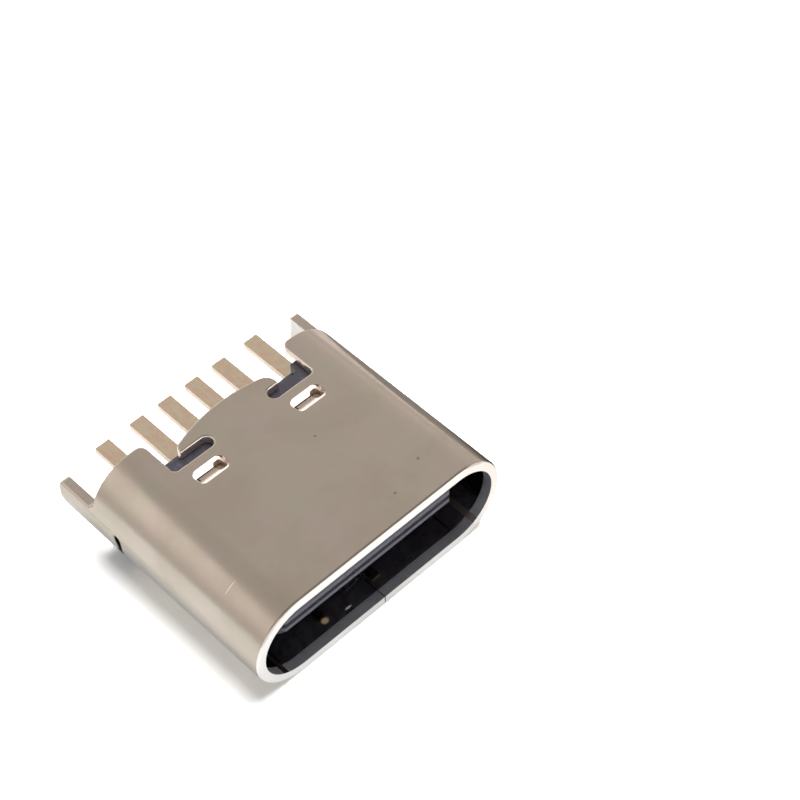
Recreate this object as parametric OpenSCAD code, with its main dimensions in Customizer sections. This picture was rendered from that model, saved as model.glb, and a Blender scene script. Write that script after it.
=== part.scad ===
// Vertical six-contact socket with a folded metal shell, lying on its seam face.
// X runs across the mouth, -Y is the mouth side, +Y the solder side, +Z the notched wide face.
// Pieces are drawn with the mouth plane at y = 0 and the middle of the shell at z = 0,
// and place() then sets the whole part on the floor, centred on the origin.

/* [Shell] */
// Outer width of the shell
shell_w = 8.94; // [8.6:0.02:9.4]
// Outer height of the shell
shell_h = 3.16; // [3.0:0.02:3.4]
// Thickness of the folded sheet
sheet_t = 0.30; // [0.24:0.01:0.36]
// Length of the face that carries the seam, from the mouth to its rear edge
seam_face_len = 5.70; // [5.4:0.05:6.0]
// Distance from the mouth to the board, where the corner lobes end
seat_y = 6.84; // [6.6:0.02:7.4]
// Break of the sharp edges round the mouth
mouth_break = 0.05; // [0.02:0.01:0.1]

/* [Notched face] */
// Front edge of the two notches
notch_y = 5.44; // [5.4:0.01:5.6]
// Width of a notch along the depth of the socket
notch_w = 0.40; // [0.3:0.01:0.42]
// Half distance between the round ends of the two notches
notch_tip_x = 1.05; // [0.8:0.01:1.2]
// Sideways offset of the whole punched pattern from the middle
face_shift = 0.07; // [0:0.01:0.1]
// Half distance between the inner edges of the two corner lobes
lobe_x = 2.54; // [2.4:0.01:2.7]
// Radius at the inner corner of a lobe
lobe_r = 0.25; // [0.1:0.01:0.35]
// Reach of the middle flap to the left of the pattern's middle
flap_left = 1.99; // [1.6:0.01:2.1]
// Reach of the middle flap to the right of the pattern's middle
flap_right = 1.57; // [1.5:0.01:2.1]
// Distance from the mouth to the crown of the flap's rear edge
flap_y = 6.48; // [6.45:0.01:6.6]
// Radius of the flap's rear edge
flap_bow = 5.20; // [5:0.1:9]
// Radius of the flap's rear corner on the left
flap_left_r = 0.30; // [0.1:0.01:0.34]
// Radius of the flap's rear corner on the right
flap_right_r = 0.40; // [0.1:0.01:0.45]

/* [Side legs] */
// Distance from the board to the tip of a leg
leg_len = 1.42; // [1.0:0.02:2.2]
// Edge of a leg on the seam side, below the middle of the shell
leg_low = 0.54; // [0.4:0.01:0.7]
// Edge of a leg on the notched side, above the middle of the shell
leg_high = 0.40; // [0.3:0.01:0.6]
// Radius of the leg's tip on the seam side
leg_tip_r = 0.25; // [0.1:0.01:0.35]
// Radius of the leg's tip on the notched side
leg_back_r = 0.12; // [0.05:0.01:0.2]
// Radius where a lobe meets its leg
leg_root_r = 0.18; // [0.05:0.01:0.3]
// Width of the relief slot between the leg and the seam face
slot_w = 0.30; // [0.2:0.01:0.36]
// Round end of the relief slot, above the middle of the shell
slot_top = 0.22; // [0:0.01:0.26]

/* [Stakes] */
// Half distance between the two stakes of a wide face
stake_x = 1.77; // [1.6:0.01:2.0]
// Distance from the mouth to the middle of a stake
stake_y = 4.83; // [4.75:0.01:5.0]
// Length of a stake on the outer face
stake_l = 1.06; // [0.9:0.01:1.1]
// Width of a stake on the outer face
stake_w = 0.54; // [0.48:0.01:0.58]
// Radius of a stake's corners
stake_r = 0.20; // [0.1:0.01:0.23]
// Depth of the pressed valley below the outer face
stake_d = 0.16; // [0.12:0.01:0.2]
// Width of the valley's steeper side
stake_steep = 0.15; // [0.1:0.01:0.2]
// Thickness of the sheet below the valley
stake_wall = 0.20; // [0.16:0.01:0.24]
// Length of the window at one end of the valley
window_l = 0.30; // [0.2:0.01:0.34]
// Sheet left between the window and the end of the stake
window_rim = 0.06; // [0.04:0.01:0.1]
// Width of the tear along the bottom of the valley
tear_w = 0.04; // [0.02:0.01:0.06]
// Length of the cut across the other end of the tongue
end_cut = 0.16; // [0.1:0.01:0.2]

/* [Seam] */
// Gap along the seam where the two edges of the sheet lie side by side
seam_gap = 0.03; // [0.02:0.01:0.05]
// Gap across the seam, at the ends of the interlocking tabs
tab_gap = 0.10; // [0.06:0.01:0.14]
// Sideways reach of the interlocking tabs
tab_reach = 0.56; // [0.4:0.01:0.7]
// Diameter of the punched relief at the root of a tab
relief_d = 0.15; // [0.1:0.01:0.2]

/* [Mouldings] */
// Running clearance between the base moulding and the shell
shell_fit = 0.02; // [0.01:0.01:0.04]
// Distance from the mouth to the floor inside
floor_y = 4.30; // [4.2:0.05:4.45]
// Distance from the mouth to the rear wall that the contacts leave
wall_y = 6.30; // [6.2:0.01:6.4]
// Half width of the rear block between its end slots
block_x = 3.28; // [3.2:0.01:3.4]
// Width of the end slots of the rear block
end_slot = 0.20; // [0.1:0.01:0.3]
// Height of the posts' top on the seam side, from the middle of the shell
post_top = 1.22; // [1.1:0.01:1.25]
// Break of the posts' rear edges
post_break = 0.14; // [0.05:0.01:0.2]
// Inner half distance between the feet of the posts, on the notched side
foot_x = 3.15; // [3.1:0.01:3.25]
// Depth of the pockets that show through the notches
pocket_d = 0.40; // [0.2:0.01:0.5]

/* [Tongue] */
// Width of the tongue
tongue_w = 6.69; // [6.5:0.01:6.8]
// Thickness of the tongue
tongue_t = 0.70; // [0.64:0.01:0.76]
// Distance from the mouth to the tip of the tongue
tongue_y = 0.50; // [0.4:0.05:0.9]
// Bevel on the corners of the tongue's tip
tip_corner = 0.32; // [0.2:0.01:0.4]
// Thickness of the tongue's thick root
root_t = 1.24; // [1.1:0.01:1.4]
// Length of the thick root in front of the floor
root_len = 0.35; // [0.2:0.01:0.5]
// Depth to which the two core halves reach into the base
core_depth = 0.70; // [0.6:0.01:0.75]
// Thickness of the metal plate between the core halves
plate_t = 0.15; // [0.1:0.01:0.16]
// Depth of the latch notches in the sides of the plate
latch_d = 0.30; // [0.2:0.01:0.5]

/* [Contacts] */
// Thickness of the contact strip
contact_t = 0.20; // [0.15:0.01:0.22]
// Height of a contact above the face of the tongue
contact_proud = 0.01; // [0:0.005:0.02]
// Width of a contact on the tongue
contact_w = 0.30; // [0.25:0.01:0.4]
// Distance from the tongue's tip to the nose of a contact
nose_gap = 0.50; // [0.4:0.01:0.8]
// Width of a solder tail
tail_w = 0.50; // [0.4:0.01:0.56]
// Distance from the board to the tips of the tails
tail_len = 1.60; // [1.2:0.05:2.4]
// Underside of the tails, above the middle of the shell
tail_z = 0.20; // [0.15:0.01:0.3]
// Distance from the middle to the inner pair of tails
tail_x1 = 0.50; // [0.45:0.01:0.6]
// Distance from the middle to the second pair of tails
tail_x2 = 1.52; // [1.4:0.01:1.6]
// Distance from the middle to the outer pair of tails
tail_x3 = 2.75; // [2.6:0.01:2.8]
// Distance from the middle to the two sensing contacts on the tongue
sense_x = 0.75; // [0.7:0.01:0.8]
// Distance from the middle to the two supply contacts on the tongue
supply_x = 1.25; // [1.2:0.01:1.4]
// Distance from the middle to the two ground contacts on the tongue
ground_x = 2.75; // [2.6:0.01:2.8]

/* [Hidden] */
$fn = 64;
e = 0.01;
far = 20;
mouth_w = shell_w - 2 * sheet_t;
mouth_h = shell_h - 2 * sheet_t;
face_z = shell_h / 2;
inner_z = mouth_h / 2;
side_x = shell_w / 2 - face_z;
leg_tip_y = seat_y + leg_len;
tail_tip_y = seat_y + tail_len;
overall_len = tail_tip_y;
notch_rear_y = notch_y + notch_w;
notch_r = notch_w / 2;
lobe_front_r = 0.15;
lap = 0.002;

// Middle of the relief slot, and how far it runs into the open rear below the leg.
slot_y = seam_face_len + 0.05;
slot_run = 0.08;

// Bottom of a stake's valley, its thickest point, and the ends of its tongue.
valley_y = stake_w / 2 - stake_steep;
stake_foot = stake_d + stake_wall;
stake_room = 0.03;
window_x = stake_l / 2 - window_rim - window_l;
tongue_x = -stake_l / 2 + 0.10;
window_w = stake_w - 0.16;
window_r = 0.10;

// Places of the seam's four cross cuts, in order from the mouth.
seam_cross = [0.165, 0.370, 0.590, 0.807] * seam_face_len;
seam_lean = 0.04;
seam_start = 0.06;

plug_w = mouth_w - 2 * shell_fit;
plug_h = mouth_h - 2 * shell_fit;
plug_y = seam_face_len - 0.04;
shoulder_y = seam_face_len + 0.02;
shoulder_low = leg_low + 0.06;
post_x = block_x + end_slot;
post_step = 0.12;
edge_break = 0.05;
pocket_x0 = flap_right;
pocket_x1 = lobe_x - 0.08;
pocket_y = wall_y - 0.34;

core_y = floor_y + core_depth;
core_x = tongue_w / 2 - 0.10;
tip_slope = 0.15;
tip_drop = 0.12;
plate_tip_y = tongue_y + 0.08;
plate_rear_y = core_y - 0.05;
plate_x = tongue_w / 2 - 0.04;
latch_y = 2.00;
latch_len = 0.90;

contact_top = tongue_t / 2 + contact_proud;
contact_y = tongue_y + nose_gap;
nose_drop = 0.08;
nose_len = 0.12;
jog_y = floor_y + 0.15;
jog_len = 0.35;
bend_y = core_y + 0.05;
bend_len = 0.40;
tail_break = 0.02;

// Sets the finished part on the floor, with the origin under the middle of its box.
module place() {
    translate([0, -overall_len / 2, face_z]) children();
}

// Extrudes an outline drawn in X and Z along Y.
module along_y(y0, y1) {
    translate([0, y1, 0]) rotate([90, 0, 0]) linear_extrude(y1 - y0) children();
}

// Extrudes an outline drawn in Y and Z along X.
module along_x(x0, x1) {
    translate([x0, 0, 0]) rotate([90, 0, 90]) linear_extrude(x1 - x0) children();
}

// Extrudes an outline drawn in X and Y along Z.
module along_z(z0, z1) {
    translate([0, 0, z0]) linear_extrude(z1 - z0) children();
}

// Repeats its children on both sides of the middle plane x = 0.
module both_sides() {
    children();
    mirror([1, 0, 0]) children();
}

// Repeats its children on both wide faces.
module both_faces() {
    children();
    mirror([0, 0, 1]) children();
}

// Outline with straight long sides and round ends.
module stadium(w, h) {
    square([w - h, h], center = true);
    for (s = [-1, 1]) translate([s * (w - h) / 2, 0]) circle(d = h);
}

// Rectangle between two corners.
module area(x0, y0, x1, y1) {
    translate([x0, y0]) square([x1 - x0, y1 - y0]);
}

// Rectangle with round corners, centred on the origin.
module round_area(l, w, r) {
    square([l - 2 * r, w], center = true);
    square([l, w - 2 * r], center = true);
    for (sx = [-1, 1]) for (sy = [-1, 1])
        translate([sx * (l / 2 - r), sy * (w / 2 - r)]) circle(r = r);
}

// Straight stroke of one width between two points.
module stroke(p, q, w) {
    d = q - p;
    translate(p) rotate(atan2(d[1], d[0])) translate([0, -w / 2]) square([norm(d), w]);
}

// What a round corner leaves out of a square one: the corner is at the origin, pointing to -X -Y.
module corner_waste(r) {
    difference() {
        translate([-e, -e]) square(r + e);
        translate([r, r]) circle(r = r);
    }
}

// What breaks the outer edge of the mouth, along the faces and round the ends.
module mouth_edge_waste() {
    profile = [[-mouth_break, -e], [e, -e], [e, mouth_break]];
    both_faces() along_x(-side_x, side_x) polygon([for (p = profile) [p[1], face_z + p[0]]]);
    both_sides() intersection() {
        translate([side_x, 0, 0]) rotate([-90, 0, 0])
            rotate_extrude() polygon([for (p = profile) [face_z + p[0], p[1]]]);
        along_y(-1, 1) area(side_x, -far, far, far);
    }
}

// Height of the centre of a rear corner of the flap, which meets its side and the bowed edge.
function corner_y(reach, r) = flap_y - flap_bow + sqrt(pow(flap_bow - r, 2) - pow(reach - r, 2)) + lap;

// Where that corner runs into the bowed edge.
function corner_end(reach, r) = (reach - r) * flap_bow / (flap_bow - r);

// One rear corner of the flap and the side below it, for a reach in +X.
module flap_side(reach, r) {
    intersection() {
        translate([reach - r, corner_y(reach, r)]) circle(r = r);
        area(0, notch_rear_y, far, far);
    }
    area(0, notch_rear_y, reach, corner_y(reach, r));
}

// Outline of the middle flap, with the neck between the two notches.
module flap_outline() {
    neck_x = notch_tip_x + notch_r;
    area(-neck_x, notch_y - e, neck_x, notch_rear_y + e);
    mirror([1, 0]) flap_side(flap_left, flap_left_r);
    flap_side(flap_right, flap_right_r);
    intersection() {
        area(-corner_end(flap_left, flap_left_r), notch_rear_y, corner_end(flap_right, flap_right_r), far);
        translate([0, flap_y - flap_bow]) circle(r = flap_bow);
    }
}

// What is punched out of the notched face round the flap, seen from above.
module notch_outline() {
    difference() {
        area(-lobe_x, notch_y, lobe_x, far);
        flap_outline();
        translate([-lobe_x, notch_y]) corner_waste(lobe_front_r);
        translate([lobe_x, notch_y]) mirror([1, 0]) corner_waste(lobe_front_r);
    }
    for (s = [-1, 1]) translate([s * (notch_tip_x + notch_r), notch_y + notch_r]) circle(r = notch_r);
    translate([lobe_x, seat_y]) mirror([0, 1]) corner_waste(lobe_r);
    translate([-lobe_x, seat_y]) rotate(180) corner_waste(lobe_r);
}

// What is punched away above the leg, seen from the side.
module lobe_end_outline() {
    difference() {
        area(seat_y, leg_high, far, far);
        translate([seat_y, leg_high]) corner_waste(leg_root_r);
    }
}

// What rounds the tip of the leg, seen from the side.
module leg_tip_outline() {
    translate([leg_tip_y, -leg_low]) mirror([1, 0]) corner_waste(leg_tip_r);
    translate([leg_tip_y, leg_high]) rotate(180) corner_waste(leg_back_r);
}

// Relief slot between the leg and the seam face, seen from the side.
module slot_outline() {
    round_y = slot_top - slot_w / 2;
    translate([slot_y, round_y]) circle(d = slot_w);
    area(slot_y - slot_w / 2, -leg_low - slot_run, slot_y + slot_w / 2, round_y);
}

// Puts its children at the four stakes, with z = 0 on the outer face and -z inwards.
// The stakes of the two wide faces are turned over against each other.
module at_stakes() {
    for (s = [-1, 1]) {
        translate([s * stake_x + face_shift, stake_y, face_z]) children();
        translate([s * stake_x, stake_y, 0]) rotate([180, 0, 0]) translate([0, 0, face_z]) children();
    }
}

// Valley that is pressed into the outer face, with a gentle and a steep side.
module stake_hollow() {
    intersection() {
        along_x(-stake_l / 2, stake_l / 2) polygon([
            [-stake_w / 2, e], [-stake_w / 2, 0], [valley_y - tear_w, -stake_d],
            [valley_y, -stake_d], [stake_w / 2, 0], [stake_w / 2, e]
        ]);
        along_z(-stake_d - e, 1) round_area(stake_l, stake_w, stake_r);
    }
}

// Metal that the valley pushes inwards, grown by a gap for the pocket that takes it.
module stake_boss(gap) {
    along_x(tongue_x + tear_w - gap, window_x + tear_w + gap) polygon([
        [-stake_w / 2 - gap, -stake_d], [stake_w / 2 + gap, -stake_d],
        [valley_y + tear_w + gap, -stake_foot - gap], [valley_y - 2 * tear_w - gap, -stake_foot - gap]
    ]);
}

// Cuts through the sheet: the window, the tear along the valley and the cut at its other end.
module stake_openings() {
    along_z(-1, e) {
        translate([window_x + window_l / 2, 0]) round_area(window_l, window_w, window_r);
        area(tongue_x, valley_y - tear_w, window_x + e, valley_y);
        area(tongue_x, valley_y - end_cut, tongue_x + tear_w, valley_y);
    }
}

// Path of the seam on its face: a straight start, two interlocking tabs and a straight end.
module seam_outline() {
    c = seam_cross;
    a = seam_start;
    t = tab_reach;
    cross_cuts = [
        [[a, c[0] + seam_lean], [-t, c[0] - seam_lean]],
        [[-t, c[1] - seam_lean], [0, c[1] + seam_lean]],
        [[0, c[2] - seam_lean], [t, c[2] + seam_lean]],
        [[t, c[3] + seam_lean], [0, c[3] - seam_lean]]
    ];
    starts = [[a, -1], cross_cuts[0][1], cross_cuts[1][1], cross_cuts[2][1], cross_cuts[3][1]];
    ends = [cross_cuts[0][0], cross_cuts[1][0], cross_cuts[2][0], cross_cuts[3][0], [0, far]];
    for (i = [0:4]) stroke(starts[i], ends[i], seam_gap);
    for (cut = cross_cuts) stroke(cut[0], cut[1], tab_gap);
    for (p = [cross_cuts[0][0], cross_cuts[1][1], cross_cuts[2][0], cross_cuts[3][0]])
        translate(p) circle(d = relief_d);
}

// One nickel-plated sheet, folded round and locked at its seam.
module shell() {
    color([0.66, 0.61, 0.55]) place() difference() {
        union() {
            difference() {
                along_y(0, leg_tip_y) stadium(shell_w, shell_h);
                along_y(-1, leg_tip_y + 1) stadium(mouth_w, mouth_h);
            }
            intersection() {
                at_stakes() stake_boss(0);
                along_y(0, seat_y) stadium(shell_w, shell_h);
            }
        }
        mouth_edge_waste();
        translate([face_shift, 0, 0]) along_z(inner_z / 2, far) notch_outline();
        along_z(-far, -inner_z / 2) seam_outline();
        along_x(-far, far) area(seam_face_len, -far, far, -leg_low);
        along_x(-far, far) lobe_end_outline();
        both_sides() along_x(side_x, far) {
            leg_tip_outline();
            slot_outline();
        }
        at_stakes() stake_hollow();
        at_stakes() stake_openings();
    }
}

// Outline of the shoulder that fills the corner beyond the seam face, flush with the shell.
module shoulder_outline() {
    intersection() {
        stadium(shell_w, shell_h);
        area(post_x, -post_top, far, -shoulder_low);
    }
}

// What is left open behind the seam face and the rear wall, seen along the depth.
module rear_openings() {
    b = edge_break;
    both_sides() {
        along_y(plug_y, far) area(block_x, -far, post_x, -post_step);
        along_y(plug_y, far) area(block_x, -far, far, -post_top);
        along_y(wall_y, far) area(-e, -far, post_x, -post_step + e);
        along_y(wall_y, far) area(-e, -post_step, foot_x, far);
    }
    along_x(-block_x - e, block_x + e) polygon([
        [wall_y - b, -plug_h / 2], [wall_y - b, -far], [far, -far], [far, -plug_h / 2 + b],
        [wall_y, -plug_h / 2 + b]
    ]);
}

// Break along the top rear edge of the posts.
module post_edge_waste() {
    b = post_break;
    both_sides() along_x(foot_x - e, far) polygon([
        [seat_y - b, -post_top], [seat_y - b, -far], [far, -far], [far, -post_top + b],
        [seat_y, -post_top + b]
    ]);
}

// Root of the two core halves inside the base.
module core_room() {
    along_y(floor_y - 1, core_y) square([2 * core_x, root_t], center = true);
}

// Black base moulding: plug, rear block and posts in one piece.
module base_housing() {
    color([0.17, 0.17, 0.19]) place() difference() {
        union() {
            along_y(floor_y, seat_y) stadium(plug_w, plug_h);
            both_sides() along_y(shoulder_y, seat_y) shoulder_outline();
        }
        rear_openings();
        post_edge_waste();
        core_room();
        at_stakes() stake_boss(stake_room);
        both_sides() along_y(pocket_y, far) area(pocket_x0, inner_z - pocket_d, pocket_x1, far);
        contact_strips();
    }
}

// Plan of the tongue, with the corners of its tip bevelled.
module tongue_plan(half_w, y0, y1, corner) {
    polygon([
        [-half_w + corner, y0], [half_w - corner, y0], [half_w, y0 + corner],
        [half_w, y1], [-half_w, y1], [-half_w, y0 + corner]
    ]);
}

// Upper half of the tongue and its root, without the slots of the contacts.
module core_half() {
    z0 = plate_t / 2;
    z1 = tongue_t / 2;
    z2 = root_t / 2;
    step_y = floor_y - root_len;
    intersection() {
        along_x(-far, far) polygon([
            [tongue_y, z0], [tongue_y, z1 - tip_drop], [tongue_y + tip_slope, z1],
            [step_y, z1], [step_y + (z2 - z1), z2], [core_y, z2], [core_y, z0]
        ]);
        union() {
            along_z(0, z1 + e) tongue_plan(tongue_w / 2, tongue_y, floor_y, tip_corner);
            along_z(0, z2 + e) area(-core_x, step_y, core_x, core_y);
        }
    }
}

// Upper moulding of the tongue, which holds three contacts.
module upper_core() {
    color([0.14, 0.14, 0.16]) place() difference() {
        core_half();
        contact_strips();
    }
}

// Lower moulding of the tongue, which holds the other three contacts.
module lower_core() {
    color([0.14, 0.14, 0.16]) place() difference() {
        mirror([0, 0, 1]) core_half();
        contact_strips();
    }
}

// Metal plate between the two halves, with the notches that a plug's latches catch.
module mid_plate() {
    color([0.62, 0.60, 0.57]) place() along_z(-plate_t / 2, plate_t / 2) difference() {
        union() {
            tongue_plan(plate_x, plate_tip_y, floor_y, tip_corner);
            area(-core_x, floor_y - e, core_x, plate_rear_y);
        }
        both_sides() polygon([
            [plate_x + e, latch_y], [plate_x - latch_d, latch_y + latch_d / 2],
            [plate_x - latch_d, latch_y + latch_len], [plate_x + e, latch_y + latch_len]
        ]);
    }
}

// Contacts: place on the tongue, place of the tail, and 1 for the upper or -1 for the lower face.
ground_upper = [ground_x, tail_x3, 1];
supply_upper = [supply_x, tail_x2, 1];
sense_upper = [-sense_x, -tail_x1, 1];
sense_lower = [sense_x, tail_x1, -1];
supply_lower = [-supply_x, -tail_x2, -1];
ground_lower = [-ground_x, -tail_x3, -1];
all_contacts = [ground_upper, supply_upper, sense_upper, sense_lower, supply_lower, ground_lower];

// Side view of a contact strip: a dipped nose, the flat on the tongue, the bend and the tail.
module contact_side(face) {
    z1 = contact_top;
    z0 = contact_top - contact_t;
    top = face > 0 ? z1 : -z0;
    bottom = face > 0 ? z0 : -z1;
    nose_top = face > 0 ? z1 - nose_drop : -z0;
    nose_bottom = face > 0 ? z0 : -z1 + nose_drop;
    bend_end = bend_y + bend_len;
    polygon([
        [contact_y, nose_bottom], [contact_y, nose_top], [contact_y + nose_len, top],
        [bend_y, top], [bend_end, tail_z + contact_t],
        [tail_tip_y, tail_z + contact_t], [tail_tip_y, tail_z],
        [bend_end, tail_z], [bend_y, bottom], [contact_y + nose_len, bottom]
    ]);
}

// Plan of a contact strip: narrow on the tongue, stepped over to its wider tail.
module contact_plan(x0, x1) {
    a = contact_w / 2;
    b = tail_w / 2;
    c = tail_break;
    jog_end = jog_y + jog_len;
    polygon([
        [x0 - a, contact_y], [x0 + a, contact_y], [x0 + a, jog_y], [x1 + b, jog_end],
        [x1 + b, tail_tip_y - c], [x1 + b - c, tail_tip_y], [x1 - b + c, tail_tip_y],
        [x1 - b, tail_tip_y - c], [x1 - b, jog_end], [x0 - a, jog_y]
    ]);
}

// One stamped and bent contact strip, in the frame of the mouth.
module contact_strip(c) {
    intersection() {
        along_z(-face_z, face_z) contact_plan(c[0], c[1]);
        along_x(-shell_w, shell_w) contact_side(c[2]);
    }
}

// All six strips together, which the mouldings are formed round.
module contact_strips() {
    for (c = all_contacts) contact_strip(c);
}

// One contact as a finished piece.
module contact(c) {
    color([0.76, 0.66, 0.48]) place() contact_strip(c);
}

shell();
base_housing();
upper_core();
lower_core();
mid_plate();
contact(ground_upper);  // ground_contact_upper
contact(supply_upper);  // supply_contact_upper
contact(sense_upper);  // sense_contact_upper
contact(sense_lower);  // sense_contact_lower
contact(supply_lower);  // supply_contact_lower
contact(ground_lower);  // ground_contact_lower
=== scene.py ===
import math

import bmesh
import bpy
from mathutils import Matrix, Vector


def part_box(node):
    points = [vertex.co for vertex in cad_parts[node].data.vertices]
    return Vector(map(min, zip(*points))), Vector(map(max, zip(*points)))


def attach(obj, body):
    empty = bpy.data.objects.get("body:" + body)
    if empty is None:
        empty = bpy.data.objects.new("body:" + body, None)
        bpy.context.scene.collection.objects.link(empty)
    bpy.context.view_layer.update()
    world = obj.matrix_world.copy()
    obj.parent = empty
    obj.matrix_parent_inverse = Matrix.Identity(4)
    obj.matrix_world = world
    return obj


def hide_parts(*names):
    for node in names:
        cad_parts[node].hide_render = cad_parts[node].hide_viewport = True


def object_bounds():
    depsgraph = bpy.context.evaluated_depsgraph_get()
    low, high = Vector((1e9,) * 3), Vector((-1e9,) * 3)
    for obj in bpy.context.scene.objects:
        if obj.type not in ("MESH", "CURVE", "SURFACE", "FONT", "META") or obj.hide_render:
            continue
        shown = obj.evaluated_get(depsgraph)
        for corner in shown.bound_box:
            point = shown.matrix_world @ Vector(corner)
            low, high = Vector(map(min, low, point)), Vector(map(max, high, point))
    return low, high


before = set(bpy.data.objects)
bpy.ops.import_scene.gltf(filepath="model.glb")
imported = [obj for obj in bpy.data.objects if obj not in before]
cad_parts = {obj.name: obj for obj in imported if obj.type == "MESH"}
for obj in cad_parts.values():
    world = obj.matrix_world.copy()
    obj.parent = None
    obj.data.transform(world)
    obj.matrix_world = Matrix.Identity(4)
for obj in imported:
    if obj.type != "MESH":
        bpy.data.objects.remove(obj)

mm = 0.001
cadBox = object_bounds()
shellLow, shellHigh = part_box("shell")
halfHeight = (shellHigh.z - shellLow.z) / 2
endCentre = shellHigh.x - halfHeight  # centre line of the shell's round ends
mouthY = shellLow.y
print("frame loaded,", len(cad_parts), "nodes")


# shader helpers

def newMaterial(name, metallic=0.0):
    mat = bpy.data.materials.new(name)
    mat.use_nodes = True
    nodes, links = mat.node_tree.nodes, mat.node_tree.links
    shader = nodes["Principled BSDF"]
    shader.inputs["Metallic"].default_value = metallic
    return mat, nodes, links, shader


def addNode(nodes, kind, **values):
    node = nodes.new(kind)
    for key, value in values.items():
        setattr(node, key, value)
    return node


def setInputs(node, values):
    for key, value in values.items():
        node.inputs[key].default_value = value


def objectPlace(nodes):
    return nodes.new("ShaderNodeTexCoord").outputs["Object"]


def addMath(nodes, links, operation, first, second):
    node = addNode(nodes, "ShaderNodeMath", operation=operation)
    for socket, value in zip(node.inputs, (first, second)):
        if isinstance(value, bpy.types.NodeSocket):
            links.new(value, socket)
        else:
            socket.default_value = value
    return node.outputs["Value"]


def addRange(nodes, links, value, fromMin, fromMax, toMin=0.0, toMax=1.0):
    spread = nodes.new("ShaderNodeMapRange")
    setInputs(spread, {"From Min": fromMin, "From Max": fromMax, "To Min": toMin, "To Max": toMax})
    links.new(value, spread.inputs["Value"])
    return spread.outputs["Result"]


def addNoise(nodes, links, place, values):
    noise = nodes.new("ShaderNodeTexNoise")
    setInputs(noise, values)
    links.new(place, noise.inputs["Vector"])
    return noise.outputs["Fac"]


def addRamp(nodes, links, value, stops):
    ramp = nodes.new("ShaderNodeValToRGB")
    elements = ramp.color_ramp.elements
    while len(elements) < len(stops):
        elements.new(0.5)
    for element, (position, colour) in zip(elements, stops):
        element.position = position
        element.color = (*colour, 1)
    links.new(value, ramp.inputs["Fac"])
    return ramp.outputs["Color"]


def mixColour(nodes, links, factor, first, second):
    mix = addNode(nodes, "ShaderNodeMix", data_type="RGBA")
    links.new(factor, mix.inputs["Factor"])
    for name, value in (("A", first), ("B", second)):
        if isinstance(value, tuple):
            mix.inputs[name].default_value = (*value, 1)
        else:
            links.new(value, mix.inputs[name])
    return mix.outputs["Result"]


def roughnessFrom(nodes, links, shader, mask, low, high):
    links.new(addRange(nodes, links, mask, 0, 1, low, high), shader.inputs["Roughness"])


def bumpFrom(nodes, links, shader, height, strength, distance):
    bump = nodes.new("ShaderNodeBump")
    setInputs(bump, {"Strength": strength, "Distance": distance})
    links.new(height, bump.inputs["Height"])
    links.new(bump.outputs["Normal"], shader.inputs["Normal"])


def newGroup(name, inputs, outputs):
    group = bpy.data.node_groups.new(name, "ShaderNodeTree")
    for label, kind in inputs:
        group.interface.new_socket(label, in_out="INPUT", socket_type=kind)
    for label in outputs:
        group.interface.new_socket(label, in_out="OUTPUT", socket_type="NodeSocketFloat")
    nodes = group.nodes
    given = nodes.new("NodeGroupInput").outputs
    wanted = nodes.new("NodeGroupOutput").inputs
    return group, nodes, group.links, given, wanted


def placeGroup(nodes, group, values):
    node = nodes.new("ShaderNodeGroup")
    node.node_tree = group
    setInputs(node, values)
    return node.outputs


# shared effect: handling marks, a mask of faint smudges and one of fine scratches

marksLook = {
    "smudge": {"Detail": 4.0, "Roughness": 0.6, "Distortion": 0.4},
    "smudgeRange": (0.42, 0.68),
    "scratch": {"Detail": 2.0, "Roughness": 0.5},
    "scratchRange": (0.60, 0.72),
    "scratchTurn": (0.2, 0.1, math.radians(38)),
    "scratchStretch": (0.06, 1.0, 1.0),
}


def makeHandlingMarks():
    scales = [("Smudge Scale", "NodeSocketFloat"), ("Scratch Scale", "NodeSocketFloat")]
    group, nodes, links, given, wanted = newGroup("handlingMarks", scales, ["Smudges", "Scratches"])
    place = objectPlace(nodes)
    turn = nodes.new("ShaderNodeMapping")
    setInputs(turn, {"Rotation": marksLook["scratchTurn"], "Scale": marksLook["scratchStretch"]})
    links.new(place, turn.inputs["Vector"])
    smudge = addNoise(nodes, links, place, marksLook["smudge"])
    scratch = addNoise(nodes, links, turn.outputs["Vector"], marksLook["scratch"])
    links.new(given["Smudge Scale"], smudge.node.inputs["Scale"])
    links.new(given["Scratch Scale"], scratch.node.inputs["Scale"])
    links.new(addRange(nodes, links, smudge, *marksLook["smudgeRange"]), wanted["Smudges"])
    links.new(addRange(nodes, links, scratch, *marksLook["scratchRange"]), wanted["Scratches"])
    return group


handlingMarks = makeHandlingMarks()


def addMarks(nodes, values):
    scales = {"Smudge Scale": values["smudgeScale"], "Scratch Scale": values["scratchScale"]}
    return placeGroup(nodes, handlingMarks, scales)


# shared effect: one small spot of the surface, a mask that fades out at the given half sizes

spotFade = (1.1, 0.6)  # in half sizes: no spot outside the first, full inside the second


def makeSurfaceSpot():
    places = [("Centre", "NodeSocketVector"), ("Half Sizes", "NodeSocketVector")]
    group, nodes, links, given, wanted = newGroup("surfaceSpot", places, ["Mask"])
    shift = addNode(nodes, "ShaderNodeVectorMath", operation="SUBTRACT")
    shrink = addNode(nodes, "ShaderNodeVectorMath", operation="DIVIDE")
    away = addNode(nodes, "ShaderNodeVectorMath", operation="LENGTH")
    links.new(objectPlace(nodes), shift.inputs[0])
    links.new(given["Centre"], shift.inputs[1])
    links.new(shift.outputs["Vector"], shrink.inputs[0])
    links.new(given["Half Sizes"], shrink.inputs[1])
    links.new(shrink.outputs["Vector"], away.inputs[0])
    links.new(addRange(nodes, links, away.outputs["Value"], *spotFade), wanted["Mask"])
    return group


surfaceSpot = makeSurfaceSpot()


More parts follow.
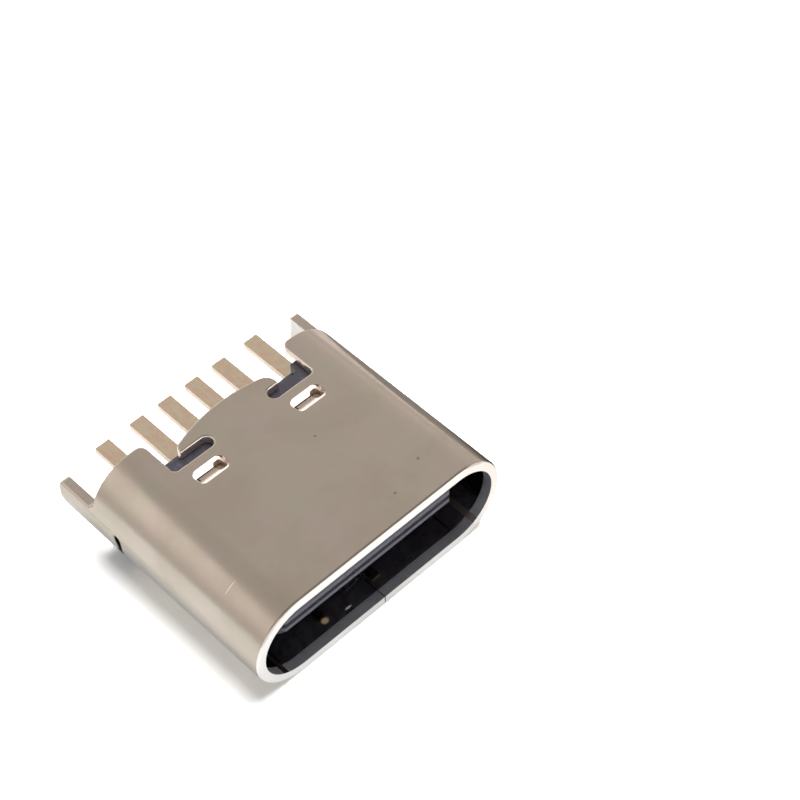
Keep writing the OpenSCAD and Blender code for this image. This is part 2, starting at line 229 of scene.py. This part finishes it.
def addSpot(nodes, centre, halfSizes):
    sizes = {"Centre": Vector(centre) * mm, "Half Sizes": Vector(halfSizes) * mm}
    return placeGroup(nodes, surfaceSpot, sizes)["Mask"]


def spotColour(nodes, links, spot, colour, spotTint):
    return mixColour(nodes, links, addSpot(nodes, *spot), colour, spotTint)


# nickel plate of the shell: warm, bright, with faint smudges and a slightly wavy surface

nickel = {
    "pinkish": (0.588, 0.480, 0.402),
    "greenish": (0.566, 0.490, 0.386),
    "patches": {"Scale": 650, "Detail": 2.0},
    "patchRange": (0.35, 0.65),
    "smudged": (0.530, 0.440, 0.352),
    "smudgeScale": 420,
    "scratchScale": 1600,
    "spots": [  # centre and half sizes, mm
        ((1.056, -0.527, 3.16), (0.055, 0.045, 1)),
        ((2.504, -3.055, 3.16), (0.055, 0.055, 1)),
        ((1.252, -3.460, 3.16), (0.045, 0.055, 1)),
    ],
    "spotTint": (0.36, 0.295, 0.235),
    "tick": ((-3.76, -2.494, 2.89), (0.26, 0.016, 0.3)),  # a light scratch on the round end
    "tickTint": (0.80, 0.72, 0.62),
    "glanceTint": (0.80, 0.77, 0.74, 1),
    "roughness": (0.17, 0.27),
    "wave": {"Scale": 380, "Detail": 2.0, "Roughness": 0.4},
    "waveBump": (0.10, 0.02 * mm),
}


def makeNickel():
    mat, nodes, links, shader = newMaterial("nickelPlate", metallic=1.0)
    shader.inputs["Specular Tint"].default_value = nickel["glanceTint"]
    marks = addMarks(nodes, nickel)
    place = objectPlace(nodes)
    patches = addNoise(nodes, links, place, nickel["patches"])
    patches = addRange(nodes, links, patches, *nickel["patchRange"])
    colour = mixColour(nodes, links, patches, nickel["pinkish"], nickel["greenish"])
    colour = mixColour(nodes, links, marks["Smudges"], colour, nickel["smudged"])
    for spot in nickel["spots"]:
        colour = spotColour(nodes, links, spot, colour, nickel["spotTint"])
    colour = spotColour(nodes, links, nickel["tick"], colour, nickel["tickTint"])
    links.new(colour, shader.inputs["Base Color"])
    roughnessFrom(nodes, links, shader, marks["Smudges"], *nickel["roughness"])
    wave = addNoise(nodes, links, place, nickel["wave"])
    bumpFrom(nodes, links, shader, wave, *nickel["waveBump"])
    return mat


# punched and pressed faces of the sheet: smooth, with fine drag lines, and brighter than the plate,
# partly from their smoother face and partly a painted highlight

punched = {
    "base": (1.0, 0.89, 0.80),
    "dark": (0.88, 0.78, 0.70),
    "lines": {"Scale": 14000, "Detail": 2.0},
    "roughness": (0.12, 0.26),
    "lineBump": (0.15, 0.004 * mm),
}


def makePunched():
    mat, nodes, links, shader = newMaterial("punchedHighlitNickel", metallic=1.0)
    lines = addNoise(nodes, links, objectPlace(nodes), punched["lines"])
    # partly a painted highlight: the punched faces are coloured brighter than the plate
    colour = mixColour(nodes, links, lines, punched["dark"], punched["base"])
    links.new(colour, shader.inputs["Base Color"])
    roughnessFrom(nodes, links, shader, lines, *punched["roughness"])
    bumpFrom(nodes, links, shader, lines, *punched["lineBump"])
    return mat


# inner side of the sheet: duller and greyer, a painted shade, with a lighter matt band at the mouth

innerSkin = {
    "base": (0.34, 0.33, 0.32),
    "dark": (0.24, 0.23, 0.23),
    "smudgeScale": 700,
    "scratchScale": 2200,
    # where the painted shade stops: a lighter, matt band at the mouth, and the open part behind the
    # base
    "lead": (0.56, 0.56, 0.58),
    "leadDepth": 0.31 * mm,
    "leadFade": 0.02 * mm,
    "leadRough": 0.50,
    "open": (0.66, 0.575, 0.50),  # in the open, behind the base
    "openDepth": 5.6 * mm,
    "openFade": 0.5 * mm,
    # painted shade: near black on the walls of the sheet's closed joint
    "seam": ((0, 0, 0.10), (0.95, 100, 0.19)),  # the closed joint of the sheet
    "seamShadeTint": (0.035, 0.035, 0.040),
    # painted reflection: a bright gold spot on the inner floor near the mouth
    "goldReflection": ((-1.631, -3.635, 0.30), (0.135, 0.12, 0.3)),  # gold-coloured, near the mouth
    "goldReflectionTint": (1.0, 0.72, 0.40),
    # painted glint: a white spot of light beside it
    "glint": ((-0.895, -3.764, 0.30), (0.14, 0.035, 0.3)),   # white, beside it
    "glintTint": (1.0, 1.0, 1.0),
    "roughness": (0.10, 0.24),
    "scratchBump": (0.1, 0.004 * mm),
}


def makeInner():
    mat, nodes, links, shader = newMaterial("shadedInnerNickel", metallic=1.0)
    marks = addMarks(nodes, innerSkin)
    split = nodes.new("ShaderNodeSeparateXYZ")
    links.new(objectPlace(nodes), split.inputs["Vector"])
    leadY, leadFade = mouthY + innerSkin["leadDepth"], innerSkin["leadFade"]
    lead = addRange(nodes, links, split.outputs["Y"], leadY + leadFade, leadY - leadFade)
    openY = mouthY + innerSkin["openDepth"]
    bare = addRange(nodes, links, split.outputs["Y"], openY, openY + innerSkin["openFade"])
    # painted shade: the inner skin is coloured darker than the plate outside
    colour = mixColour(nodes, links, marks["Smudges"], innerSkin["base"], innerSkin["dark"])
    # the painted shade gives way to a lighter, matt band at the mouth and to a lighter colour in
    # the open behind the base
    colour = mixColour(nodes, links, lead, colour, innerSkin["lead"])
    colour = mixColour(nodes, links, bare, colour, innerSkin["open"])
    # painted shade: near black on the walls of the sheet's closed joint
    colour = spotColour(nodes, links, innerSkin["seam"], colour, innerSkin["seamShadeTint"])
    # a painted gold reflection and a painted white glint near the mouth
    goldReflection = addSpot(nodes, *innerSkin["goldReflection"])
    glint = addSpot(nodes, *innerSkin["glint"])
    colour = mixColour(nodes, links, goldReflection, colour, innerSkin["goldReflectionTint"])
    colour = mixColour(nodes, links, glint, colour, innerSkin["glintTint"])
    links.new(colour, shader.inputs["Base Color"])
    # the painted gold reflection and the painted glint are not bare metal
    paintedSpots = addMath(nodes, links, "MAXIMUM", goldReflection, glint)
    links.new(addMath(nodes, links, "SUBTRACT", 1.0, paintedSpots), shader.inputs["Metallic"])
    rough = addNode(nodes, "ShaderNodeMix", data_type="FLOAT")
    rough.inputs["B"].default_value = innerSkin["leadRough"]
    links.new(lead, rough.inputs["Factor"])
    worn = addRange(nodes, links, marks["Scratches"], 0, 1, *innerSkin["roughness"])
    links.new(worn, rough.inputs["A"])
    links.new(rough.outputs["Result"], shader.inputs["Roughness"])
    bumpFrom(nodes, links, shader, marks["Scratches"], *innerSkin["scratchBump"])
    return mat


# black glass-filled plastic: moulded skin with fine specks and pale scuffs

resin = {
    "ior": 1.55,
    "specks": {"Scale": 9000, "Detail": 3.0, "Roughness": 0.7},
    "speckRange": (0.5, 0.8),
    "smudgeScale": 900,
    "scratchScale": 3000,
    "grain": 0.25,
}

blackPlastic = {
    "base": (0.040, 0.036, 0.050),
    "pale": (0.125, 0.130, 0.155),
    "roughness": (0.28, 0.5),
    "grainDepth": 0.006 * mm,
    # lighter brown patches on the moulding where the stake windows show it
    "windowPatches": [((2.16, 0.61, 2.65), (0.30, 0.34, 0.5)), ((-1.38, 0.61, 2.65), (0.30, 0.34, 0.5))],
    "windowPatchTint": (0.22, 0.15, 0.095),  # what shows in the stake windows
}

# the tongue: the base's resin, painted lighter and more purple as light and shade inside the mouth
tonguePlastic = {
    "base": (0.150, 0.138, 0.175),
    "pale": (0.230, 0.215, 0.260),
    "roughness": (0.25, 0.42),
    "grainDepth": 0.004 * mm,
}


def makePlastic(name, values):
    mat, nodes, links, shader = newMaterial(name)
    shader.inputs["IOR"].default_value = resin["ior"]
    specks = addNoise(nodes, links, objectPlace(nodes), resin["specks"])
    marks = addMarks(nodes, resin)
    strong = addRange(nodes, links, specks, *resin["speckRange"])
    scuffs = addMath(nodes, links, "MULTIPLY", strong, marks["Smudges"])
    colour = mixColour(nodes, links, scuffs, values["base"], values["pale"])
    # lighter brown patches where the stake windows show the moulding
    for windowPatch in values.get("windowPatches", []):
        colour = spotColour(nodes, links, windowPatch, colour, values["windowPatchTint"])
    links.new(colour, shader.inputs["Base Color"])
    roughnessFrom(nodes, links, shader, marks["Smudges"], *values["roughness"])
    bumpFrom(nodes, links, shader, specks, resin["grain"], values["grainDepth"])
    return mat


# pale gold of the contacts, rolled along their length

gold = {
    "base": (0.760, 0.535, 0.400),
    "pale": (0.745, 0.615, 0.425),
    "mottle": {"Scale": 5200, "Detail": 3.0, "Roughness": 0.6},
    "mottleRange": (0.38, 0.62),
    "rollStretch": (1.0, 0.05, 1.0),
    "rollLines": {"Scale": 9000, "Detail": 3.0},
    "roughness": (0.20, 0.36),
    "rollBump": (0.05, 0.003 * mm),
}


def makeGold():
    mat, nodes, links, shader = newMaterial("paleGold", metallic=1.0)
    place = objectPlace(nodes)
    stretch = nodes.new("ShaderNodeMapping")
    stretch.inputs["Scale"].default_value = gold["rollStretch"]
    links.new(place, stretch.inputs["Vector"])
    lines = addNoise(nodes, links, stretch.outputs["Vector"], gold["rollLines"])
    mottle = addNoise(nodes, links, place, gold["mottle"])
    mottle = addRange(nodes, links, mottle, *gold["mottleRange"])
    colour = mixColour(nodes, links, mottle, gold["base"], gold["pale"])
    links.new(colour, shader.inputs["Base Color"])
    roughnessFrom(nodes, links, shader, lines, *gold["roughness"])
    bumpFrom(nodes, links, shader, lines, *gold["rollBump"])
    return mat


# bare steel of the plate inside the tongue

steel = {
    "base": (0.60, 0.58, 0.55),
    "dark": (0.50, 0.48, 0.46),
    "smudgeScale": 900,
    "scratchScale": 2500,
    "roughness": (0.25, 0.4),
}


def makeSteel():
    mat, nodes, links, shader = newMaterial("bareSteel", metallic=1.0)
    marks = addMarks(nodes, steel)
    colour = mixColour(nodes, links, marks["Smudges"], steel["base"], steel["dark"])
    links.new(colour, shader.inputs["Base Color"])
    roughnessFrom(nodes, links, shader, marks["Scratches"], *steel["roughness"])
    return mat


nickelPlate = makeNickel()
shadedInnerNickel = makeInner()
punchedHighlitNickel = makePunched()
housingPlastic = makePlastic("blackPlastic", blackPlastic)
corePlastic = makePlastic("tonguePlastic", tonguePlastic)
paleGold = makeGold()
bareSteel = makeSteel()
print("materials made")


# finished copies of the solids: merged, with the edges softened as the real ones are

finishing = {
    "weld": 0.0005 * mm,
    "flatAngle": 0.4,
    "sharpAngle": 38,     # edges above this are softened
    "softSegments": 2,
    "shadingAngle": 30,   # edges above this stay sharp in the shading
    "normalWeight": 80,
    # bevels work in enlarged space, because the real edges are finer than their tolerance
    "enlarged": 1000,
    "degenerate": 0.001,  # edges shorter than this, in enlarged space, are closed
}


def mergedCopy(nodeName):
    bm = bmesh.new()
    bm.from_mesh(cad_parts[nodeName].data)
    bmesh.ops.remove_doubles(bm, verts=bm.verts, dist=finishing["weld"])
    flat = math.radians(finishing["flatAngle"])
    bmesh.ops.dissolve_limit(bm, angle_limit=flat, verts=bm.verts, edges=bm.edges)
    return bm


def resize(bm, factor):
    bmesh.ops.scale(bm, verts=bm.verts, vec=(factor, factor, factor))


def foldedOver(edge, angle):
    return len(edge.link_faces) == 2 and edge.calc_face_angle(0) > math.radians(angle)


def softenEdges(bm, shortest, width):
    sharp = [e for e in bm.edges if foldedOver(e, finishing["sharpAngle"])]
    edges = [e for e in sharp if e.calc_length() > shortest]
    enlarged = finishing["enlarged"]
    resize(bm, enlarged)
    bmesh.ops.bevel(bm, geom=edges, affect="EDGES", offset=width * enlarged, offset_type="OFFSET",
                    segments=finishing["softSegments"], profile=0.5, material=-1,
                    clamp_overlap=False, loop_slide=False)
    bmesh.ops.dissolve_degenerate(bm, dist=finishing["degenerate"], edges=bm.edges)
    resize(bm, 1 / enlarged)


def meshObject(name, bm, materials=()):
    mesh = bpy.data.meshes.new(name)
    bm.to_mesh(mesh)
    bm.free()
    for material in materials:
        mesh.materials.append(material)
    thing = bpy.data.objects.new(name, mesh)
    bpy.context.scene.collection.objects.link(thing)
    return thing


def finishPiece(bm, name, nodeName, materials):
    for edge in bm.edges:
        edge.smooth = not foldedOver(edge, finishing["shadingAngle"])
    for face in bm.faces:
        face.smooth = True
    piece = meshObject(name, bm, materials)
    even = piece.modifiers.new("evenShading", "WEIGHTED_NORMAL")
    even.keep_sharp = True
    even.weight = finishing["normalWeight"]
    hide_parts(nodeName)
    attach(piece, "root")


# the folded shell: the punched outer edges are rolled over, the inner ones stay crisp

shellLook = {
    "sheet": 0.30 * mm,
    "skinTolerance": 0.002 * mm,
    "mouthRoll": 0.05 * mm,        # how far the punch drew the outer edges over
    "rearRoll": 0.065 * mm,
    "rollSegments": 4,
    "mouthEdge": 0.2 * mm,         # depth from the mouth, as the stakes' and slots' depths are
    "seamHalfWidth": 0.80 * mm,
    "stakeHalfWidth": 2.6 * mm,    # the stakes keep their pressed edges
    "stakeDepths": (4.1 * mm, 5.41 * mm),
    "endFrom": 3.5 * mm,           # relief slots and legs are further out than this
    "slotTop": 1.9 * mm,
    "slotDepths": (5.2 * mm, 6.3 * mm),
    "legTopSlope": 0.8,
    "squareCorner": (60, 120),
}


def skinRadius(point):
    return math.hypot(max(abs(point.x) - endCentre, 0), point.z - halfHeight - shellLow.z)


def onSkin(verts, inward=0):
    radius, tolerance = halfHeight - inward, shellLook["skinTolerance"]
    return all(abs(skinRadius(v.co) - radius) < tolerance for v in verts)


def inSeam(point):
    return abs(point.x) < shellLook["seamHalfWidth"] and point.z < halfHeight / 2


def middle(edge):
    return (edge.verts[0].co + edge.verts[1].co) / 2


def punchedEdge(edge):
    point = middle(edge)
    low, high = shellLook["stakeDepths"]
    atStake = abs(point.x) < shellLook["stakeHalfWidth"] and low < point.y - mouthY < high
    return onSkin(edge.verts) and not inSeam(point) and not atStake


def punchedEdges(bm):
    return [e for e in bm.edges if foldedOver(e, finishing["sharpAngle"]) and punchedEdge(e)]


# 0 for the outer skin and the tops of the legs, 2 (painted shade) for the inner skin, the seam
# and the slots, 1 (partly a painted highlight) for the other punched and pressed faces

def sheetMaterialIndex(face):
    centre = face.calc_center_median()
    low, high = shellLook["slotDepths"]
    atEnd = abs(centre.x) > shellLook["endFrom"]
    if onSkin(face.verts) or (atEnd and face.normal.z > shellLook["legTopSlope"]):
        return 0
    inSlot = atEnd and centre.z < shellLook["slotTop"] and low < centre.y - mouthY < high
    return 2 if onSkin(face.verts, shellLook["sheet"]) or inSeam(centre) or inSlot else 1


# a facet that is shorter than the rounding gives way where it meets a square corner

def closeShortFacets(bm, edges, length):
    low, high = shellLook["squareCorner"]
    targets = {}
    for edge in edges:
        if edge.calc_length() > length:
            continue
        for vert in edge.verts:
            far = edge.other_vert(vert)
            beside = [other for other in vert.link_edges if other in edges and other is not edge]
            if len(beside) == 1:
                along = beside[0].other_vert(vert).co - vert.co
                if low < math.degrees((far.co - vert.co).angle(along)) < high:
                    targets[far] = vert
    if targets:
        bmesh.ops.weld_verts(bm, targetmap=targets)


def rollEdges(bm, weight, edges):
    widest, enlarged = shellLook["rearRoll"], finishing["enlarged"]
    for edge in edges:
        atMouth = middle(edge).y - mouthY < shellLook["mouthEdge"]
        edge[weight] = (shellLook["mouthRoll"] if atMouth else widest) / widest
    resize(bm, enlarged)
    work = meshObject("rolling", bm)
    roll = work.modifiers.new("punchRoll", "BEVEL")
    roll.limit_method = "WEIGHT"
    roll.offset_type = "OFFSET"
    roll.width = widest * enlarged
    roll.segments = shellLook["rollSegments"]
    roll.use_clamp_overlap = False
    roll.loop_slide = False
    rolled = bmesh.new()
    rolled.from_object(work, bpy.context.evaluated_depsgraph_get())
    mesh = work.data
    bpy.data.objects.remove(work)
    bpy.data.meshes.remove(mesh)
    resize(rolled, 1 / enlarged)
    return rolled


def makeShell():
    bm = mergedCopy("shell")
    weight = bm.edges.layers.float.new("bevel_weight_edge")
    for face in bm.faces:
        face.material_index = sheetMaterialIndex(face)
    closeShortFacets(bm, set(punchedEdges(bm)), shellLook["rearRoll"])
    bm = rollEdges(bm, weight, punchedEdges(bm))
    materials = [nickelPlate, punchedHighlitNickel, shadedInnerNickel]
    finishPiece(bm, "foldedShell", "shell", materials)


makeShell()
print("shell made")


# base, tongue and plate

plainPieces = {
    "baseMoulding": {
        "node": "base_housing",
        "slot": "black_plastic",
        "material": housingPlastic,
        "soften": 0.02 * mm,
    },
    "upperTongue": {
        "node": "upper_core",
        "slot": "tongue_plastic",
        "material": corePlastic,
        "soften": 0.015 * mm,
    },
    "lowerTongue": {
        "node": "lower_core",
        "slot": "tongue_plastic",
        "material": corePlastic,
        "soften": 0.015 * mm,
    },
    "latchPlate": {
        "node": "mid_plate",
        "slot": "bare_steel",
        "material": bareSteel,
        "soften": 0,
    },
}
plainShortest = 0.06 * mm  # shorter edges stay as they are

for name, values in plainPieces.items():
    bm = mergedCopy(values["node"])
    if values["soften"]:
        softenEdges(bm, plainShortest, values["soften"])
    finishPiece(bm, name, values["node"], [values["material"]])
print("mouldings made")


# contacts

contactNames = {
    "groundContactA": "ground_contact_upper",
    "supplyContactA": "supply_contact_upper",
    "senseContactA": "sense_contact_upper",
    "senseContactB": "sense_contact_lower",
    "supplyContactB": "supply_contact_lower",
    "groundContactB": "ground_contact_lower",
}
contactEdges = {"shortest": 0.03 * mm, "width": 0.006 * mm}

for name, nodeName in contactNames.items():
    bm = mergedCopy(nodeName)
    softenEdges(bm, **contactEdges)
    finishPiece(bm, name, nodeName, [paleGold])
print("contacts made")


# camera at the photograph's angle, placed from the mouth and the middle of the shell

view = {
    "place": Vector((-21.416, -24.183, 46.294)) * mm,
    "right": Vector((0.71880, -0.69492, -0.02028)),
    "down": Vector((-0.54546, -0.54564, -0.63620)),
    "forward": Vector((0.43104, 0.46837, -0.77125)),
    "focalPixels": 2104,
    "framePixels": 800,
    "sensor": 36,
    "near": 1 * mm,
    "far": 2,
}


def makeCamera():
    data = bpy.data.cameras.new("photoCamera")
    data.sensor_width = view["sensor"]
    data.sensor_fit = "HORIZONTAL"
    data.lens = view["sensor"] * view["focalPixels"] / view["framePixels"]
    data.clip_start = view["near"]
    data.clip_end = view["far"]
    camera = bpy.data.objects.new("photoCamera", data)
    bpy.context.scene.collection.objects.link(camera)
    turn = Matrix((view["right"], -view["down"], -view["forward"])).transposed().to_4x4()
    origin = Vector((0, mouthY, shellLow.z + halfHeight))
    camera.matrix_world = Matrix.Translation(origin + view["place"]) @ turn
    bpy.context.scene.camera = camera


makeCamera()


# white table, one soft lamp, and cards and a room that only shiny surfaces see

def grey(value):
    return (value, value, value)


studio = {
    "tableRadius": 120 * mm,
    "tableSegments": 96,
    "tableDrop": 0.01 * mm,
    "tableRough": 0.9,
    "tableColour": grey(0.86),         # what the object's own light sees
    "tableSeen": grey(1.85),           # what the camera sees of it
    "tableLit": grey(0.70),            # what shiny surfaces see of it, with the shadow,
    "tableShine": (0.33, 0.42, 0.49),  # and this glow besides,
    "tableShineRight": grey(0.16),     # weaker towards +X
    "shineChange": (3.0 * mm, 6.0 * mm),
    "underPart": ((0, -0.8, 0), (3.0, 3.6, 1)),  # where there is no glow
    "skyDiffuse": 0.24,
    "roomStops": [(0.0, grey(0.72)), (0.20, grey(0.72)), (0.42, grey(0.95)), (0.58, grey(1.04))],
    "lampFrom": Vector((0.28, 0.12, 0.95)),
    "lampDistance": 120 * mm,
    "lampSize": 110 * mm,
    "lampPower": 0.180,
}


# the plain shader lights the object, reflections get a second one and the camera a third

def splitByRay(nodes, links, plain, mirrored, seen):
    rays = nodes.new("ShaderNodeLightPath").outputs
    shiny = addMath(nodes, links, "MAXIMUM", rays["Is Glossy Ray"], rays["Is Transmission Ray"])
    result = plain
    for mask, other in ((shiny, mirrored), (rays["Is Camera Ray"], seen)):
        mix = nodes.new("ShaderNodeMixShader")
        links.new(mask, mix.inputs["Fac"])
        links.new(result, mix.inputs[1])
        links.new(other, mix.inputs[2])
        result = mix.outputs["Shader"]
    return result


def addDiffuse(nodes, colour):
    diffuse = nodes.new("ShaderNodeBsdfDiffuse")
    diffuse.inputs["Color"].default_value = (*colour, 1)
    return diffuse.outputs["BSDF"]


def makeTableMaterial():
    mat, nodes, links, shader = newMaterial("whiteTable")
    shader.inputs["Roughness"].default_value = studio["tableRough"]
    shader.inputs["Base Color"].default_value = (*studio["tableColour"], 1)
    split = nodes.new("ShaderNodeSeparateXYZ")
    links.new(objectPlace(nodes), split.inputs["Vector"])
    side = addRange(nodes, links, split.outputs["X"], *studio["shineChange"])
    shine = mixColour(nodes, links, side, studio["tableShine"], studio["tableShineRight"])
    shine = spotColour(nodes, links, studio["underPart"], shine, grey(0.0))
    glow = nodes.new("ShaderNodeEmission")
    links.new(shine, glow.inputs["Color"])
    mirrored = nodes.new("ShaderNodeAddShader")
    links.new(glow.outputs["Emission"], mirrored.inputs[0])
    links.new(addDiffuse(nodes, studio["tableLit"]), mirrored.inputs[1])
    seen = addDiffuse(nodes, studio["tableSeen"])
    surface = splitByRay(nodes, links, shader.outputs["BSDF"], mirrored.outputs["Shader"], seen)
    links.new(surface, nodes["Material Output"].inputs["Surface"])
    return mat


def makeTable():
    bm = bmesh.new()
    bmesh.ops.create_circle(bm, cap_ends=True, segments=studio["tableSegments"],
                            radius=studio["tableRadius"])
    floor = meshObject("whiteTable", bm, [makeTableMaterial()])
    floor.location.z = cadBox[0][2] - studio["tableDrop"]


def makeLamp():
    data = bpy.data.lights.new("softLamp", "AREA")
    data.shape = "DISK"
    data.size = studio["lampSize"]
    data.energy = studio["lampPower"]
    lamp = bpy.data.objects.new("softLamp", data)
    bpy.context.scene.collection.objects.link(lamp)
    direction = studio["lampFrom"].normalized()
    lamp.location = direction * studio["lampDistance"]
    lamp.rotation_euler = direction.to_track_quat("Z", "Y").to_euler()
    lamp.visible_glossy = False


# flat cards, seen only in reflections: corners in mm, and greys along an axis from and to a place

cards = {
    "overheadCard": {
        "corners": [(-140, -12, 60), (240, 155, 60), (420, -60, 60), (-140, -60, 60)],
        "greys": [(0.0, 0.52), (0.22, 0.55), (0.30, 0.62), (0.5, 0.66), (1.0, 0.80)],
        "along": ("X", -60 * mm, 240 * mm),
    },
    "darkSideCard": {
        "corners": [(4.2, -4.4, 0.05), (24, -4.4, 0.05), (24, 9.6, 0.05), (4.2, 4.0, 0.05)],
        "greys": [(0.0, 0.10), (0.32, 0.12), (0.42, 0.40), (1.0, 0.44)],
        "along": ("Y", -8 * mm, 12 * mm),
    },
    "frontPanel": {
        "corners": [(6, -48, 16), (38, -38, 16), (33, -34, 34), (4, -43, 34)],
        "greys": [(0.0, 1.8), (1.0, 1.8)],
        "along": ("X", 0, 1),
    },
    "rearPanel": {
        "corners": [(10, 66, 4), (44, 54, 4), (44, 54, 24), (10, 66, 24)],
        "greys": [(0.0, 1.45), (1.0, 1.45)],
        "along": ("X", 0, 1),
    },
    "darkStrip": {
        "corners": [(-30, 6, 58), (90, 6, 58), (90, -40, 58), (-30, -40, 58)],
        "greys": [(0.0, 0.24), (1.0, 0.24)],
        "along": ("X", 0, 1),
    },
}


def glowMaterial(name, greys, axis, low, high):
    mat, nodes, links, shader = newMaterial(name)
    nodes.remove(shader)
    split = nodes.new("ShaderNodeSeparateXYZ")
    links.new(objectPlace(nodes), split.inputs["Vector"])
    along = addRange(nodes, links, split.outputs[axis], low, high)
    glow = nodes.new("ShaderNodeEmission")
    stops = [(position, grey(value)) for position, value in greys]
    links.new(addRamp(nodes, links, along, stops), glow.inputs["Color"])
    links.new(glow.outputs["Emission"], nodes["Material Output"].inputs["Surface"])
    return mat


def makeCard(name, values):
    bm = bmesh.new()
    bm.faces.new([bm.verts.new(Vector(corner) * mm) for corner in values["corners"]])
    card = meshObject(name, bm, [glowMaterial(name, values["greys"], *values["along"])])
    card.visible_camera = False
    card.visible_diffuse = False
    card.visible_shadow = False
    card.visible_transmission = False


def makeWorld():
    world = bpy.data.worlds.new("paleStudio")
    world.use_nodes = True
    nodes, links = world.node_tree.nodes, world.node_tree.links
    nodes.clear()

    def background(strength=1.0):
        node = nodes.new("ShaderNodeBackground")
        setInputs(node, {"Color": (1, 1, 1, 1), "Strength": strength})
        return node.outputs["Background"]

    sky, room, white = background(studio["skyDiffuse"]), background(), background()
    split = nodes.new("ShaderNodeSeparateXYZ")
    links.new(nodes.new("ShaderNodeTexCoord").outputs["Generated"], split.inputs["Vector"])
    tone = addRamp(nodes, links, split.outputs["Z"], studio["roomStops"])
    links.new(tone, room.node.inputs["Color"])
    surface = splitByRay(nodes, links, sky, room, white)
    links.new(surface, nodes.new("ShaderNodeOutputWorld").inputs["Surface"])
    bpy.context.scene.world = world


makeTable()
makeLamp()
for name, values in cards.items():
    makeCard(name, values)
makeWorld()
bpy.context.scene.view_settings.view_transform = "Standard"
print("studio made")

bpy.context.view_layer.update()
